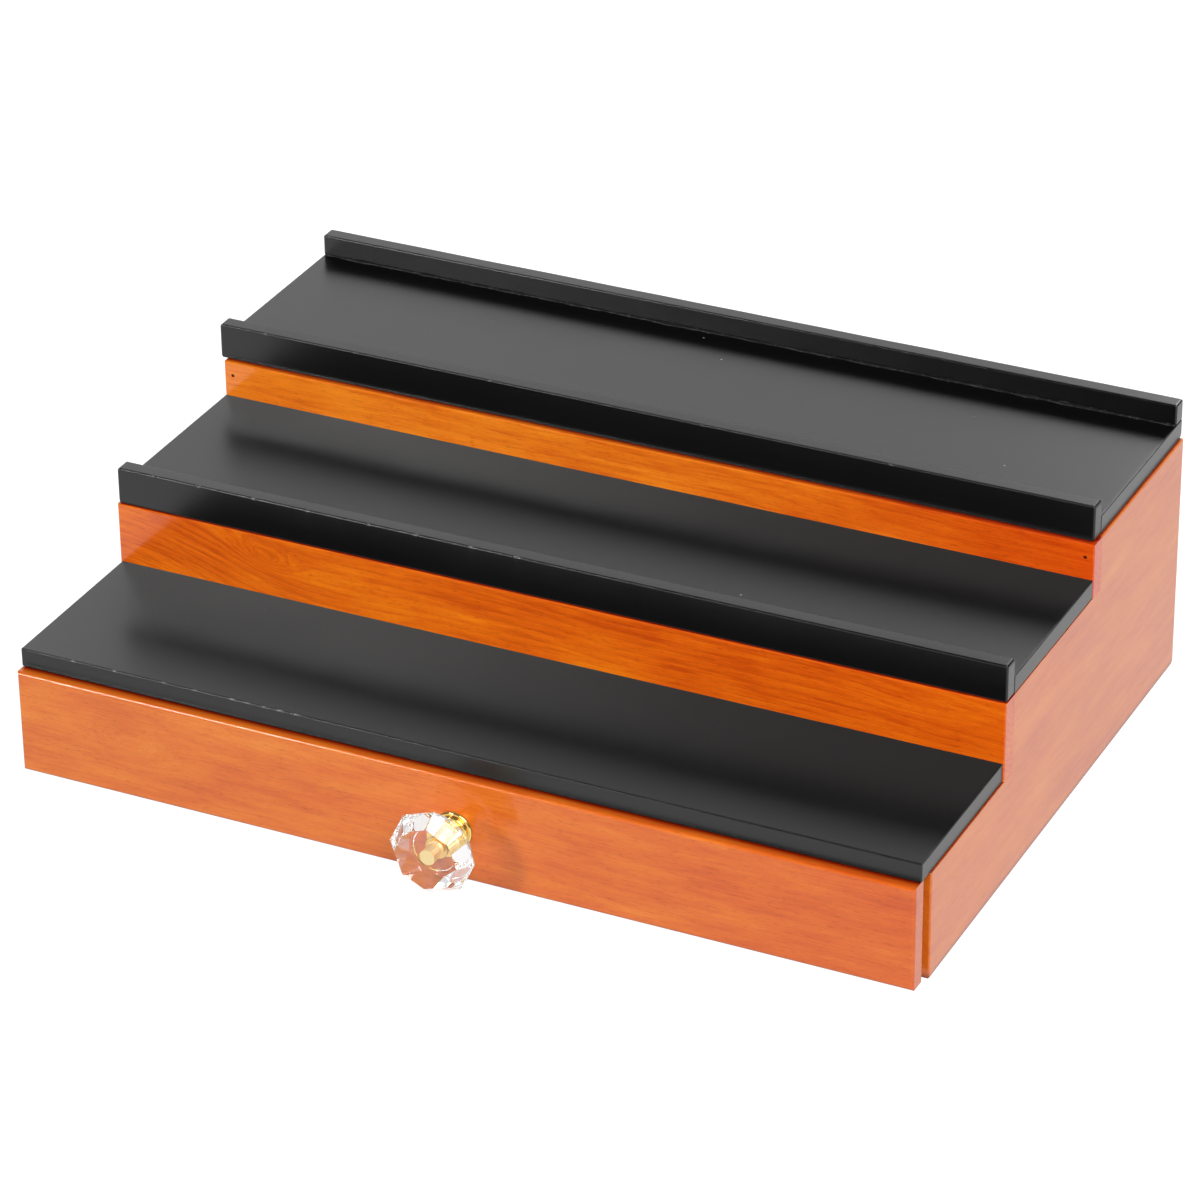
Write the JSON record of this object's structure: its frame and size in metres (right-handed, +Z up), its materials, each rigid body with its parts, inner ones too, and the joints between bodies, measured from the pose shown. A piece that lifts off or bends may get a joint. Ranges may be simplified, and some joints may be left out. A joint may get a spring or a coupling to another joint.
{
  "type": "stepped perfume display organizer with drawer",
  "caption": "Stained wooden case with black stepped display trays edged by low lips, and a full-width drawer below that slides forward on a faceted crystal knob.",
  "frame": {"origin": "middle of the case's footprint, on the underside of the case bottom", "axes": "+X to the right along the drawer front, +Y to the rear, +Z up"},
  "size_m": [0.3526, 0.2717, 0.1097],
  "materials": {
    "stained_wood": "honey-orange stain under satin lacquer",
    "raw_wood": "thin clear lacquer over pale solid wood",
    "plywood": "thin plywood with a light stain",
    "black_paint": "satin black paint on wood",
    "brass": "polished and lacquered",
    "pin_steel": "plain bright wire",
    "screw_steel": "zinc plated",
    "crystal_glass": "clear, cut and polished"
  },
  "bodies": {
    "case": {"side_panel_left": "stained_wood", "side_panel_right": "stained_wood", "lower_riser": "stained_wood", "upper_riser": "stained_wood", "case_bottom": "plywood", "case_back": "plywood", "riser_brads": "pin_steel", "bottom_brads": "pin_steel", "back_brads": "pin_steel", "bottom_tray": "black_paint", "middle_tray": "black_paint", "middle_tray_lip": "black_paint", "top_tray": "black_paint", "top_tray_front_lip": "black_paint", "top_tray_rear_lip": "black_paint"},
    "drawer": {"drawer_front": "stained_wood", "drawer_box_front": "raw_wood", "drawer_side_left": "raw_wood", "drawer_side_right": "raw_wood", "drawer_box_back": "raw_wood", "drawer_bottom": "plywood", "drawer_brads": "pin_steel", "knob_base": "brass", "knob_crystal": "crystal_glass", "knob_insert": "brass", "knob_screw": "screw_steel"}
  },
  "joints": [
    {"name": "drawer_slide", "type": "slide", "parent": "case", "child": "drawer", "axis": [0, -1, 0], "range_m": [-0.0037, 0.18]}
  ]
}
